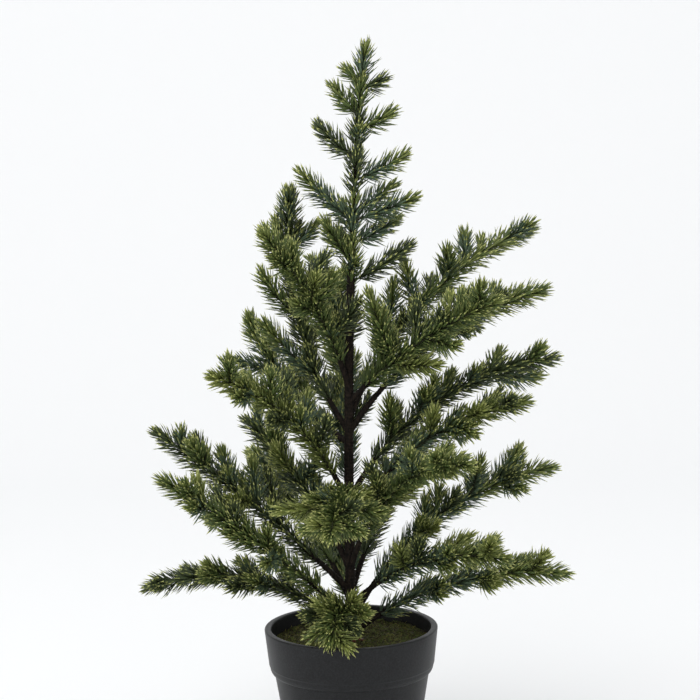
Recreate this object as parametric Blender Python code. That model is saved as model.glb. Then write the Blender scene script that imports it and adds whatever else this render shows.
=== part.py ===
# Potted artificial fir: a small table tree with moulded needles, in a plain black plastic pot.
# Metres, +Z up. The origin is the middle of the pot's flat underside, and the front of the tree
# faces -Y.
#
# The trunk is one tapering stem. Each bough is a wrapped wire limb that leaves the trunk steeply
# and bends outwards. Past its bare stretch it carries one mass of foliage: a stem with side
# twigs, each clothed by a spray, which is a slim core whose faces stand out in needle spikes.
# Round the leader stand tiers of short twigs, on a clothed sleeve that the leader runs through.

import math
import random

import bmesh
import bpy
import numpy as np
from mathutils import Matrix, Vector

MM = 0.001
GAP = 0.3 * MM                     # clearance between neighbouring pieces
SEED = 12

# Pot: a moulded plastic pot with a deep collar and a rolled lip.
POT_HEIGHT = 110 * MM
RIM_RADIUS = 60 * MM
COLLAR_HEIGHT = 25 * MM
COLLAR_TAPER = 2.6 * MM            # how much the collar narrows from the lip down
COLLAR_DRAFT = 0.4 * MM            # the same inside the collar
STEP_HEIGHT = 6.4 * MM             # rounded step between the collar and the body
STEP_FACES = 3
BODY_RADIUS = 53.7 * MM            # under the step
FOOT_RADIUS = 40.8 * MM
LIP_WIDTH = 4.6 * MM
WALL = 2.4 * MM
FLOOR = 3 * MM
EDGE = 1 * MM                      # rounding of the lip and of the foot's edge
POT_SIDES = 40
BODY_TOP = POT_HEIGHT - COLLAR_HEIGHT - STEP_HEIGHT
COLLAR_FOOT = POT_HEIGHT - COLLAR_HEIGHT

# Filling and moss: a weight cast in the pot, with a layer of dry moss on it.
WALL_ROOM = 1.5 * GAP              # between the filling or the moss and the pot's wall
MOSS_LEVEL = 101 * MM
MOSS_DEPTH = 6 * MM
MOSS_LUMP = 1.1 * MM
MOSS_DROP = 1.2 * MM               # how far the moss sinks towards the wall
MOSS_FLAT = 16 * MM                # radius of the level spot that the trunk stands on
MOSS_RINGS = (0.26, 0.42, 0.58, 0.74, 0.9, 1.0)
MOSS_SIDES = 20

# Trunk: straight at the foot, leaning slightly to +X towards its tip.
TRUNK_FOOT = MOSS_LEVEL + GAP
TRUNK_TIP = 486 * MM
TRUNK_LEAN = 14 * MM
LEAN_POWER = 2.7
FOOT_THICK = 3.7 * MM              # radius above the flare
WRAP_END = 362 * MM                # the wrapped part ends here, and the thin leader goes on
WRAP_THICK = 2.8 * MM
WRAP_SLOPE = 3 * MM                # length over which the wrapping thins out
LEADER_THICK = 1.7 * MM
TIP_THICK = 0.9 * MM
FLARE = 4.2 * MM
FLARE_HEIGHT = 6 * MM
TRUNK_SIDES = 10

# Boughs and their foliage.
BOUGH_THICK = 2.4 * MM             # radius at the trunk
BOUGH_END = 1.5 * MM               # radius where the foliage begins
BOUGH_SIDES = 6
BOUGH_RINGS = 5
STEM_THICK = 1.2 * MM
STEM_BARE = 5 * MM
STEM_SUNK = 7.5 * MM               # how far a stem's foot runs on inside its core
TWIG_THICK = 0.9 * MM
TWIG_BARE = 6 * MM
TWIG_SUNK = 6 * MM
TWIG_DROOP = 5                     # a twig starts this much flatter than its row says (degrees)
TWIG_LIFT = 8                      # and ends this much steeper
TWIG_SWAY = 3                      # seeded change of a twig's direction and rise (degrees)
TWIG_CUTS = (1.0, 0.8, 0.6)        # shares of its length that a twig is tried at
SPRIG_PLACES = (0.57, 0.86)        # places along a bough where seeded short sprigs stand
SPRIG_SHIFT = 0.05
SPRIG_LENGTH = 22 * MM
SPRIG_ANGLE = 52                   # between a sprig and its bough, seen from above (degrees)
SPRIG_RISE = (0, 40)               # how much steeper than its bough it rises (degrees)
CORE_THICK = 1.9 * MM
CORE_SIDES = 3
CORE_LEAST = 0.62                  # share of its thickness that a core starts with
CORE_TWIST = math.radians(40)
RING_PITCH = 8 * MM
NEEDLE_LENGTH = 12 * MM
NEEDLE_SPREAD = (0.88, 1.1)        # seeded shares of that length
NEEDLE_ANGLE = math.radians(46)    # between a needle and its twig
TIP_ANGLE = math.radians(22)       # the same in the tuft at a twig's end
TIP_START = 0.6                    # share of the twig where the needles begin to close in
TUFT = 7 * MM                      # how far the tuft reaches past the core's end
SPIKE_ROOM = 0.8 * MM              # half of the room that a needle spike takes
CLEARANCE = 0.7 * MM               # kept between the limbs and needles of two masses
MOSS_ROOM = 3 * MM                 # kept between needles and the moss
RIM_ROOM = 1.5 * MM                # and between needles and the pot's rim
RIM_ZONE = (50 * MM, 63 * MM)      # radii between which the rim is in the way

# Leader: the thin top of the trunk with its sleeve, tiers of twigs and tip.
LEADER_NEEDLE = 9.5 * MM
LEADER_CORE = 1.6 * MM             # how far the clothed sleeve stands out from the leader
LEADER_SIDES = 5
LEADER_TIP = 513 * MM
LEADER_TIP_SIDE = 17 * MM          # how far the very tip lies to +X

# One row for each bough: its name, the height at which it leaves the trunk (mm), the compass
# direction it goes in (degrees, 0 is +X and 90 is the back), its length (mm), how steeply it
# rises at the trunk and at its tip (degrees), the bare share of its length, and its side twigs.
# A side twig has its place along the bough, its own direction and rise (degrees), and its
# length (mm).
BOUGHS = (
    ("low_left", 108, 178, 155, 44, -18, 0.24,
     ((0.46, 145, 26, 30), (0.50, 230, 4, 33), (0.62, 210, 30, 26), (0.75, 135, 4, 22))),
    ("lower_left_front", 116, 203, 179, 45, 34, 0.26,
     ((0.42, 250, 0, 30), (0.50, 205, 26, 34), (0.62, 140, 46, 39), (0.71, 120, -12, 24),
      (0.79, 235, 16, 23))),
    ("lower_left", 135, 182, 178, 46, 37, 0.26,
     ((0.38, 120, 58, 46), (0.50, 110, 66, 38), (0.54, 240, 14, 31), (0.62, 140, 64, 34),
      (0.75, 230, 52, 34))),
    ("mid_left_back", 150, 160, 131, 66, 42, 0.36,
     ((0.40, 290, 30, 38), (0.54, 320, 54, 36), (0.56, 125, 4, 29), (0.67, 130, 24, 29))),
    ("mid_left_front", 195, 216, 158, 66, 21, 0.24,
     ((0.33, 305, 56, 30), (0.46, 65, 60, 30), (0.54, 245, 12, 29), (0.62, 60, 58, 30),
      (0.71, 140, 44, 25), (0.79, 245, -2, 25))),
    ("mid_back_left", 239, 140, 126, 22, 60, 0.26,
     ((0.50, 75, 30, 30), (0.67, 195, 14, 38), (0.71, 95, 28, 21))),
    ("upper_left_back", 247, 156, 177, 53, 99, 0.20,
     ((0.25, 190, 46, 59), (0.38, 70, 26, 26), (0.50, 195, 52, 46), (0.75, 150, 66, 32),
      (0.79, 20, 30, 29))),
    ("upper_left_front", 278, 232, 147, 66, 39, 0.20,
     ((0.29, 340, 50, 37), (0.46, 230, 18, 27), (0.50, 340, 54, 30), (0.62, 25, 52, 31),
      (0.75, 240, 24, 28))),
    ("upper_right_back", 256, 32, 207, 62, 14, 0.16,
     ((0.25, 60, 66, 56), (0.46, 145, 68, 38), (0.50, 250, -2, 23), (0.58, 75, -20, 25),
      (0.62, 270, 68, 27), (0.79, 90, 48, 15))),
    ("upper_right", 246, 6, 175, 57, 13, 0.32,
     ((0.60, 305, 4, 22), (0.67, 70, -20, 27), (0.79, 65, 62, 19))),
    ("upper_right_front", 267, 332, 140, 45, 23, 0.18,
     ((0.29, 250, 76, 45), (0.33, 325, 2, 42), (0.36, 215, 62, 56), (0.50, 75, 78, 32),
      (0.58, 310, -6, 31), (0.71, 70, 62, 24), (0.79, 70, 52, 25))),
    ("mid_right", 199, 4, 183, 62, 6, 0.24,
     ((0.29, 260, 74, 35), (0.42, 295, 46, 32), (0.50, 50, 24, 26), (0.67, 60, 14, 27),
      (0.75, 20, -10, 42))),
    ("mid_right_front", 182, 344, 163, 61, 11, 0.40,
     ((0.60, 325, 12, 31), (0.66, 310, -8, 27), (0.79, 35, 30, 27))),
    ("mid_front_right", 150, 306, 174, 66, 5, 0.22,
     ((0.42, 225, 56, 34), (0.46, 340, 22, 26), (0.58, 30, 30, 45), (0.75, 330, 0, 23))),
    ("lower_right", 112, 14, 190, 63, 6, 0.28,
     ((0.42, 305, 26, 28), (0.50, 65, 58, 29), (0.67, 310, 68, 34), (0.75, 25, 44, 38),
      (0.80, 310, -4, 26))),
    ("low_right", 104, 354, 163, 39, -5, 0.22,
     ((0.40, 300, 0, 20), (0.48, 45, 4, 27), (0.62, 310, -4, 23), (0.71, 35, 16, 27))),
    ("low_right_front", 124, 326, 142, 46, -3, 0.30,
     ((0.42, 250, 50, 27), (0.54, 20, 20, 40), (0.60, 310, -10, 22), (0.68, 5, 10, 36))),
    ("mid_front", 211, 262, 102, -2, -16, 0.26,
     ((0.50, 190, -6, 46), (0.52, 332, -8, 37), (0.66, 208, -26, 30), (0.70, 310, 24, 27))),
    ("low_front", 106, 256, 76, 66, -48, 0.32,
     ((0.38, 210, 6, 36), (0.40, 300, 10, 36), (0.50, 232, 40, 20), (0.64, 215, -24, 22))),
    ("low_back", 110, 96, 140, 44, -10, 0.26,
     ((0.42, 150, 16, 36), (0.50, 40, 20, 36), (0.64, 145, 10, 30), (0.72, 50, 12, 28))),
    ("lower_back_left", 128, 126, 154, 50, 22, 0.28,
     ((0.42, 80, 30, 34), (0.54, 172, 26, 34), (0.64, 82, 24, 30), (0.74, 170, 20, 26))),
    ("lower_back_right", 132, 62, 154, 52, 22, 0.28,
     ((0.42, 105, 30, 34), (0.52, 14, 26, 34), (0.64, 104, 24, 30), (0.74, 16, 20, 26))),
    ("mid_back", 188, 92, 144, 60, 26, 0.26,
     ((0.40, 140, 40, 32), (0.50, 44, 36, 34), (0.62, 142, 34, 30), (0.72, 46, 30, 26))),
    ("upper_back", 270, 102, 112, 62, 34, 0.24,
     ((0.40, 50, 45, 30), (0.52, 152, 40, 30), (0.66, 52, 38, 26))),
)

# The leader's own twigs, in tiers. Each tier has its name, the stretch of the leader that it
# clothes (mm) and its twigs: height (mm), direction and rise (degrees), and length (mm).
TIERS = (
    ("tier_1", 466, 485, ((480, 0, 20, 22), (484, 180, 40, 18), (472, 95, 40, 20))),
    ("tier_2", 440, 464, ((452, 8, 26, 32), (462, 188, 48, 31), (446, 285, 40, 16))),
    ("tier_3", 408, 438, ((419, 353, 24, 43), (433, 174, 41, 39), (424, 84, 36, 26))),
    ("tier_4", 380, 406, ((392, 356, 18, 49), (392, 187, 42, 53), (398, 24, 26, 38),
                          (386, 110, 36, 30))),
    ("tier_5", 346, 378, ((350, 10, 28, 52), (364, 202, 54, 38), (376, 28, 22, 43),
                          (370, 120, 34, 27), (358, 290, 30, 16))),
)

rng = random.Random(SEED)


def clear_scene():
    for obj in list(bpy.data.objects):
        bpy.data.objects.remove(obj, do_unlink=True)
    for mesh in list(bpy.data.meshes):
        bpy.data.meshes.remove(mesh)


def material(name, rgb, roughness, metallic=0.0):
    mat = bpy.data.materials.new(name)
    mat.use_nodes = True
    shader = mat.node_tree.nodes["Principled BSDF"]
    shader.inputs["Base Color"].default_value = (*rgb, 1.0)
    shader.inputs["Roughness"].default_value = roughness
    shader.inputs["Metallic"].default_value = metallic
    return mat


def shade(mesh, angle):
    mesh.shade_smooth()
    mesh.set_sharp_from_angle(angle=math.radians(angle))


def add_object(name, bm, mat=None):
    mesh = bpy.data.meshes.new(name)
    bm.to_mesh(mesh)
    bm.free()
    obj = bpy.data.objects.new(name, mesh)
    bpy.context.scene.collection.objects.link(obj)
    if mat:
        mesh.materials.append(mat)
    return obj


def seat(obj, place, parent):
    """Puts the piece's own origin at the place where the piece stands, and parents it."""
    obj.data.transform(Matrix.Translation(-place))
    obj.location = place
    obj.parent = parent


# Pot, filling and moss


def turned(name, profile, mat):
    """Solid of revolution. The profile runs from the axis, round the section, to the axis."""
    bm = bmesh.new()
    rings = []
    for radius, z in profile:
        if radius == 0:
            rings.append([bm.verts.new((0, 0, z))])
            continue
        turns = (2 * math.pi * i / POT_SIDES for i in range(POT_SIDES))
        rings.append([bm.verts.new((radius * math.cos(a), radius * math.sin(a), z)) for a in turns])
    for low, high in zip(rings, rings[1:]):
        for i in range(POT_SIDES):
            j = (i + 1) % POT_SIDES
            corners = [low[i % len(low)], low[j % len(low)], high[j % len(high)], high[i % len(high)]]
            bm.faces.new(list(dict.fromkeys(corners)))
    bmesh.ops.recalc_face_normals(bm, faces=bm.faces)
    obj = add_object(name, bm, mat)
    shade(obj.data, 35)
    return obj


def pot_inside(z):
    """Inner radius of the pot at a height: under the lip, along the step, then down the body."""
    collar = RIM_RADIUS - LIP_WIDTH
    if z >= COLLAR_FOOT:
        return collar - COLLAR_DRAFT * (POT_HEIGHT - z) / COLLAR_HEIGHT
    body = BODY_RADIUS - WALL
    if z >= BODY_TOP:
        share = (z - BODY_TOP) / STEP_HEIGHT
        return body + (collar - COLLAR_DRAFT - body) * share
    return FOOT_RADIUS + (BODY_RADIUS - FOOT_RADIUS) * z / BODY_TOP - WALL


def pot_profile():
    """Section of the pot: underside, outer wall, step, collar, lip, inner wall and floor."""
    collar_low = RIM_RADIUS - COLLAR_TAPER
    points = [(0, 0), (FOOT_RADIUS - EDGE, 0), (FOOT_RADIUS, EDGE), (BODY_RADIUS, BODY_TOP)]
    for i in range(1, STEP_FACES + 1):
        turn = math.pi / 2 * i / STEP_FACES
        points.append((BODY_RADIUS + (collar_low - BODY_RADIUS) * math.sin(turn),
                       BODY_TOP + STEP_HEIGHT * (1 - math.cos(turn))))
    points += [(RIM_RADIUS, POT_HEIGHT - EDGE), (RIM_RADIUS - EDGE, POT_HEIGHT)]
    lip = RIM_RADIUS - LIP_WIDTH
    points += [(lip + EDGE, POT_HEIGHT), (lip, POT_HEIGHT - EDGE)]
    points += [(pot_inside(z), z) for z in (COLLAR_FOOT, BODY_TOP, FLOOR)]
    return points + [(0, FLOOR)]


def make_pot(root):
    plastic = material("pot_black_plastic", (0.020, 0.021, 0.022), 0.42)
    pot = turned("pot", pot_profile(), plastic)
    pot.parent = root


def make_filling(root):
    weight = material("filling_grey_plaster", (0.30, 0.29, 0.27), 0.9)
    top = MOSS_LEVEL - MOSS_DEPTH - GAP
    levels = (FLOOR + GAP, BODY_TOP, COLLAR_FOOT, top)
    section = [(0, levels[0])] + [(pot_inside(z) - WALL_ROOM, z) for z in levels] + [(0, top)]
    filling = turned("filling", section, weight)
    seat(filling, Vector((0, 0, FLOOR + GAP)), root)


def make_moss(root):
    """Layer of moss with an uneven top and a level spot under the trunk."""
    bm = bmesh.new()
    edge = pot_inside(MOSS_LEVEL - MOSS_DEPTH) - WALL_ROOM
    rings = []
    for share in MOSS_RINGS:
        radius = edge * share
        ring = []
        for i in range(MOSS_SIDES):
            turn = 2 * math.pi * i / MOSS_SIDES
            height = 0
            if radius > MOSS_FLAT:
                height = MOSS_LUMP * rng.uniform(-1, 0.8) - MOSS_DROP * share ** 3
            ring.append(bm.verts.new((radius * math.cos(turn), radius * math.sin(turn),
                                      MOSS_LEVEL + height)))
        rings.append(ring)
    rings.append([bm.verts.new((v.co.x, v.co.y, MOSS_LEVEL - MOSS_DEPTH)) for v in rings[-1]])
    bm.faces.new(rings[0])
    bm.faces.new(list(reversed(rings[-1])))
    for inner, outer in zip(rings, rings[1:]):
        for i in range(MOSS_SIDES):
            j = (i + 1) % MOSS_SIDES
            bm.faces.new((inner[i], outer[i], outer[j], inner[j]))
    bmesh.ops.recalc_face_normals(bm, faces=bm.faces)
    moss = add_object("moss", bm, material("moss_olive", (0.075, 0.090, 0.028), 0.95))
    shade(moss.data, 50)
    seat(moss, Vector((0, 0, MOSS_LEVEL)), root)


# Limbs


def trunk_point(z):
    """Middle of the trunk at a height."""
    share = max(0.0, (z - TRUNK_FOOT) / (TRUNK_TIP - TRUNK_FOOT))
    return Vector((TRUNK_LEAN * share ** LEAN_POWER, 0, z))


def trunk_radius(z):
    """Radius of the trunk: flared foot, wrapped length, then the thin leader."""
    if z < WRAP_END:
        share = (z - TRUNK_FOOT) / (WRAP_END - TRUNK_FOOT)
        flare = FLARE * math.exp(-(z - TRUNK_FOOT) / FLARE_HEIGHT)
        return FOOT_THICK + (WRAP_THICK - FOOT_THICK) * share + flare
    share = (z - WRAP_END) / (TRUNK_TIP - WRAP_END)
    wrapping = (WRAP_THICK - LEADER_THICK) * math.exp(-(z - WRAP_END) / WRAP_SLOPE)
    return LEADER_THICK + (TIP_THICK - LEADER_THICK) * share + wrapping


def frames(path):
    """Two directions across a path at each of its points, carried along it without a twist."""
    side = Vector((0.83, 0.56, 0))
    found = []
    for i in range(len(path)):
        along = (path[min(i + 1, len(path) - 1)] - path[max(i - 1, 0)]).normalized()
        if i == 0 and abs(along.dot(side)) > 0.9:
            side = Vector((0, 0, 1))
        side = (side - side.dot(along) * along).normalized()
        found.append((side, along.cross(side)))
    return found


def ring_of(bm, centre, frame, radius, sides, turn=0.0):
    side, up = frame
    turns = (turn + 2 * math.pi * k / sides for k in range(sides))
    return [bm.verts.new(centre + radius * (math.cos(a) * side + math.sin(a) * up)) for a in turns]


def tube(path, radii, sides):
    """Closed tapering limb along a path, with a flat cut at each end."""
    bm = bmesh.new()
    rings = [ring_of(bm, centre, frame, radius, sides)
             for centre, frame, radius in zip(path, frames(path), radii)]
    for low, high in zip(rings, rings[1:]):
        for i in range(sides):
            j = (i + 1) % sides
            bm.faces.new((low[i], low[j], high[j], high[i]))
    bm.faces.new(rings[0])
    bm.faces.new(rings[-1])
    bmesh.ops.recalc_face_normals(bm, faces=bm.faces)
    return bm


def heading(azimuth, rise):
    a = math.radians(azimuth)
    r = math.radians(rise)
    return Vector((math.cos(r) * math.cos(a), math.cos(r) * math.sin(a), math.sin(r)))


def limb_path(start, azimuth, length, rise, end_rise, steps=24):
    """Points of a limb whose rise changes evenly from its root to its tip."""
    points = [start.copy()]
    for i in range(steps):
        share = (i + 0.5) / steps
        step = heading(azimuth, rise + (end_rise - rise) * share) * (length / steps)
        points.append(points[-1] + step)
    return points


def twig_path(root, azimuth, rise, length):
    """Points of a side twig, which turns up towards its tip. Its tuft reaches on past them."""
    return limb_path(root, azimuth, length - TUFT, rise - TWIG_DROOP, rise + TWIG_LIFT, steps=8)


def point_on(path, share):
    place = share * (len(path) - 1)
    i = min(int(place), len(path) - 2)
    return path[i].lerp(path[i + 1], place - i)


def part_of(path, start, end, count):
    return [point_on(path, start + (end - start) * i / (count - 1)) for i in range(count)]


def path_length(path):
    return sum((b - a).length for a, b in zip(path, path[1:]))


# Room kept between the masses: every limb, core and needle is held as a rod with its radius


class Rods:
    def __init__(self):
        self.starts = []
        self.ends = []
        self.radii = []
        self.owners = []
        self.parts = []

    def add(self, start, end, radius, owner, part=0):
        self.starts.append(tuple(start))
        self.ends.append(tuple(end))
        self.radii.append(radius)
        self.owners.append(owner)
        self.parts.append(part)

    def add_path(self, path, radius, owner, part=0, step=3):
        marks = path[::step] + ([path[-1]] if (len(path) - 1) % step else [])
        for start, end in zip(marks, marks[1:]):
            self.add(start, end, radius, owner, part)

    def clear(self, start, end, radius, owner, part=None):
        """True where a new rod keeps its clearance from the rods of every other mass. With a
        part given it also stays off the other twigs of its own mass."""
        strange = np.array([name != owner for name in self.owners])
        other = strange
        if part is not None:
            other = strange | np.array([number != part for number in self.parts])
        if not other.any():
            return True
        p = np.array(self.starts)[other]
        q = np.array(self.ends)[other]
        room = np.array(self.radii)[other] + radius + CLEARANCE * strange[other]
        return bool((rod_distance(np.array(start), np.array(end), p, q) > room).all())


def rod_distance(a, b, p, q):
    """Least distance from the line a to b to each of many lines p to q."""
    tiny = 1e-18
    u = b - a
    v = q - p
    w = a - p
    uu = u @ u + tiny
    vv = (v * v).sum(1) + tiny
    uv = v @ u
    uw = w @ u
    vw = (v * w).sum(1)
    span = uu * vv - uv * uv
    s = np.clip(np.where(span > tiny, (uv * vw - vv * uw) / np.maximum(span, tiny), 0), 0, 1)
    t = np.clip((uv * s + vw) / vv, 0, 1)
    s = np.clip((uv * t - uw) / uu, 0, 1)
    near = a + s[:, None] * u - p - t[:, None] * v
    return np.sqrt((near * near).sum(1))


def over_pot(point):
    """True where a needle's tip would reach into the pot's rim or the moss."""
    out = math.hypot(point.x, point.y)
    if point.z < MOSS_LEVEL + MOSS_ROOM:
        return out < RIM_ZONE[1]
    return point.z < POT_HEIGHT + RIM_ROOM and RIM_ZONE[0] < out < RIM_ZONE[1]


# Foliage


def core_rings(bm, marks, sides, thick):
    """Rings of a spray's core. Its thickness swells from the root, or follows the leader's."""
    rings = []
    turn = rng.uniform(0, math.pi)
    last = len(marks) - 1
    for i, (centre, frame) in enumerate(zip(marks, frames(marks))):
        swell = math.sin(math.pi * min(1.0, (i + 0.8) / last))
        radius = CORE_THICK * (CORE_LEAST + (1 - CORE_LEAST) * swell)
        if thick:
            radius = thick(centre.z)
        rings.append(ring_of(bm, centre, frame, radius, sides, turn + i * CORE_TWIST))
    return rings


def spray(path, owner, part, rods, needle=NEEDLE_LENGTH, sides=CORE_SIDES, thick=None):
    """Slim core along a path. Each face of it stands out in one needle spike."""
    gaps = max(2, round(path_length(path) / RING_PITCH))
    marks = part_of(path, 0, 1, gaps + 1)
    bm = bmesh.new()
    rings = core_rings(bm, marks, sides, thick)
    along = (marks[-1] - marks[-2]).normalized()
    tip = bm.verts.new(marks[-1] + along * (GAP if thick else TUFT))
    bm.faces.new(rings[0])
    for k in range(sides):
        bm.faces.new((rings[-1][k], rings[-1][(k + 1) % sides], tip))
    for i in range(gaps):
        along = (marks[i + 1] - marks[i]).normalized()
        middle = (marks[i + 1] + marks[i]) / 2
        close = max(0.0, (i + 0.5) / gaps - TIP_START) / (1 - TIP_START)
        lean = NEEDLE_ANGLE + (TIP_ANGLE - NEEDLE_ANGLE) * close
        for k in range(sides):
            n = (k + 1) % sides
            corners = (rings[i][k], rings[i][n], rings[i + 1][n], rings[i + 1][k])
            centre = sum((v.co for v in corners), Vector()) / 4
            out = centre - middle
            out = (out - out.dot(along) * along).normalized()
            reach = needle * rng.uniform(*NEEDLE_SPREAD)
            point = centre + reach * (math.cos(lean) * along + math.sin(lean) * out)
            if over_pot(point) or not rods.clear(centre, point, SPIKE_ROOM, owner, part):
                bm.faces.new(corners)
                continue
            rods.add(centre, point, SPIKE_ROOM, owner, part)
            spike = bm.verts.new(point)
            for c in range(4):
                bm.faces.new((corners[c], corners[(c + 1) % 4], spike))
    bmesh.ops.recalc_face_normals(bm, faces=bm.faces)
    bmesh.ops.triangulate(bm, faces=[f for f in bm.faces if len(f.verts) > 3])
    return bm


def twig_root(path, reach, radius):
    """Bare foot of a stem or twig, which runs on inside its core."""
    share = min(1.0, reach / path_length(path))
    return tube(part_of(path, 0, share, 3), [radius, radius, radius * 0.7], CORE_SIDES)


def clothed(path, bare, sunk, thick, owner, part, rods, needle=NEEDLE_LENGTH):
    """The bare foot of a stem or twig, and the spray on the rest of it."""
    foot = twig_root(path, bare + sunk, thick)
    start = bare / path_length(path)
    return [foot, spray(part_of(path, start, 1, len(path)), owner, part, rods, needle)]


def evaluated(obj):
    graph = bpy.context.evaluated_depsgraph_get()
    return bpy.data.meshes.new_from_object(obj.evaluated_get(graph))


def add_boolean(obj, operation, operand=None, collection=None):
    cut = obj.modifiers.new(operation.lower(), "BOOLEAN")
    cut.operation = operation
    cut.solver = "EXACT"
    if collection:
        cut.operand_type = "COLLECTION"
        cut.collection = collection
    else:
        cut.object = operand


def islands(bm):
    """Groups of faces that hang together."""
    left = set(bm.faces)
    groups = []
    while left:
        stack = [left.pop()]
        group = []
        while stack:
            face = stack.pop()
            group.append(face)
            for edge in face.edges:
                for other in edge.link_faces:
                    if other in left:
                        left.remove(other)
                        stack.append(other)
        groups.append(group)
    return groups


def volume(faces):
    total = 0.0
    for face in faces:
        a, b, c = (v.co for v in face.verts)
        total += a.dot(b.cross(c)) / 6
    return total


def apply_booleans(obj):
    """Applies an object's Booleans. Hollows that they sealed are filled and loose scraps are
    dropped, so that one closed body is left."""
    mesh = evaluated(obj)
    bm = bmesh.new()
    bm.from_mesh(mesh)
    bmesh.ops.triangulate(bm, faces=bm.faces)
    groups = sorted(islands(bm), key=volume, reverse=True)
    for group in groups[1:]:
        bmesh.ops.delete(bm, geom=group, context="FACES")
    bmesh.ops.delete(bm, geom=[v for v in bm.verts if not v.link_faces], context="VERTS")
    bm.to_mesh(mesh)
    bm.free()
    old = obj.data
    obj.modifiers.clear()
    obj.data = mesh
    bpy.data.meshes.remove(old)
    mesh.name = obj.name


def fuse(name, pieces, mat, cutter=None):
    """One Boolean union joins a mass's twigs and sprays, and a cutter clears it of the trunk."""
    group = bpy.data.collections.new(name + "_pieces")
    bpy.context.scene.collection.children.link(group)
    base = add_object(name, pieces[0], mat)
    others = []
    for i, bm in enumerate(pieces[1:]):
        piece = add_object(f"{name}_piece_{i}", bm)
        bpy.context.scene.collection.objects.unlink(piece)
        group.objects.link(piece)
        others.append(piece)
    add_boolean(base, "UNION", collection=group)
    if cutter:
        add_boolean(base, "DIFFERENCE", operand=cutter)
    apply_booleans(base)
    for piece in others:
        bpy.data.objects.remove(piece, do_unlink=True)
    bpy.data.collections.remove(group)
    return base


# Trunk


def make_trunk(bark, root):
    """The trunk, and the slightly thicker guide solid that other pieces are cut clear of."""
    foot = TRUNK_FOOT
    above_flare = foot + 16 * MM
    above_wrap = WRAP_END + 9 * MM
    heights = [foot, foot + 4 * MM, foot + 9 * MM]
    heights += [above_flare + (WRAP_END - above_flare) * i / 6 for i in range(7)]
    heights += [WRAP_END + WRAP_SLOPE]
    heights += [above_wrap + (TRUNK_TIP - above_wrap) * i / 4 for i in range(5)]
    path = [trunk_point(z) for z in heights]
    radii = [trunk_radius(z) for z in heights]
    bm = tube(path, radii, TRUNK_SIDES)
    for v in bm.verts:
        if v.co.z < foot + 2 * MM:                       # the lowest ring lies flat on the moss
            v.co.z = foot
    trunk = add_object("trunk", bm, bark)
    shade(trunk.data, 40)
    seat(trunk, path[0], root)
    low = path[0] - Vector((0, 0, 4 * MM))
    room = [radii[0] + GAP] + [radius + GAP for radius in radii]
    cutter = add_object("trunk_room", tube([low] + path, room, TRUNK_SIDES))
    cutter.hide_render = True
    cutter.display_type = "WIRE"
    return cutter


# Boughs


def plan_boughs(rods):
    """Paths of all boughs and of their side twigs. A twig that would touch a limb is cut short
    or skipped."""
    plans = []
    for name, height, azimuth, length, rise, end_rise, bare, rows in BOUGHS:
        path = limb_path(trunk_point(height * MM), azimuth, length * MM - TUFT, rise, end_rise)
        rods.add_path(path, CORE_THICK, name)
        plans.append((name, path, bare, rows, []))
    for name, path, _, rows, twigs in plans:
        for along, azimuth, rise, length in rows:
            azimuth += rng.uniform(-TWIG_SWAY, TWIG_SWAY)
            rise += rng.uniform(-TWIG_SWAY, TWIG_SWAY)
            for share in TWIG_CUTS:
                twig = twig_path(point_on(path, along), azimuth, rise, length * MM * share)
                if rods.clear(twig[2], twig[-1], CORE_THICK, name):
                    twigs.append(twig)
                    rods.add_path(twig, CORE_THICK, name, len(twigs), step=2)
                    break
    return plans


def grow_sprigs(plans, rods):
    """Short seeded sprigs on alternate sides of each bough, skipped where a limb is near."""
    for name, path, _, _, twigs in plans:
        side = rng.choice((-1, 1))
        for place in SPRIG_PLACES:
            place += rng.uniform(-SPRIG_SHIFT, SPRIG_SHIFT)
            root = point_on(path, place)
            ahead = point_on(path, place + 0.02) - root
            level = math.degrees(math.atan2(ahead.y, ahead.x))
            rise = math.degrees(math.asin(ahead.z / ahead.length)) + rng.uniform(*SPRIG_RISE)
            twig = twig_path(root, level + side * SPRIG_ANGLE, rise, SPRIG_LENGTH)
            side = -side
            if rods.clear(twig[3], twig[-1], CORE_THICK, name, len(twigs) + 1):
                twigs.append(twig)
                rods.add_path(twig, CORE_THICK, name, len(twigs), step=2)


def make_bough(plan, bark, cutter, root):
    """Bare wrapped limb from the trunk to where its foliage begins."""
    name, path, bare, _, _ = plan
    last = BOUGH_RINGS - 1
    radii = [BOUGH_THICK + (BOUGH_END - BOUGH_THICK) * i / last for i in range(BOUGH_RINGS)]
    limb = tube(part_of(path, 0, bare, BOUGH_RINGS), radii, BOUGH_SIDES)
    bough = add_object("bough_" + name, limb, bark)
    add_boolean(bough, "DIFFERENCE", operand=cutter)
    apply_booleans(bough)
    shade(bough.data, 50)
    seat(bough, path[0], root)


def make_foliage(plan, green, rods, root):
    """The mass of one bough: its stem, which starts just clear of the bough, and its twigs."""
    name, path, bare, _, twigs = plan
    stem = part_of(path, bare + GAP / path_length(path), 1, 17)
    pieces = clothed(stem, STEM_BARE, STEM_SUNK, STEM_THICK, name, 0, rods)
    for part, twig in enumerate(twigs, 1):
        pieces += clothed(twig, TWIG_BARE, TWIG_SUNK, TWIG_THICK, name, part, rods)
    seat(fuse("foliage_" + name, pieces, green), stem[0], root)


# Leader


def sleeve_radius(z):
    return trunk_radius(z) + LEADER_CORE


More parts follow.
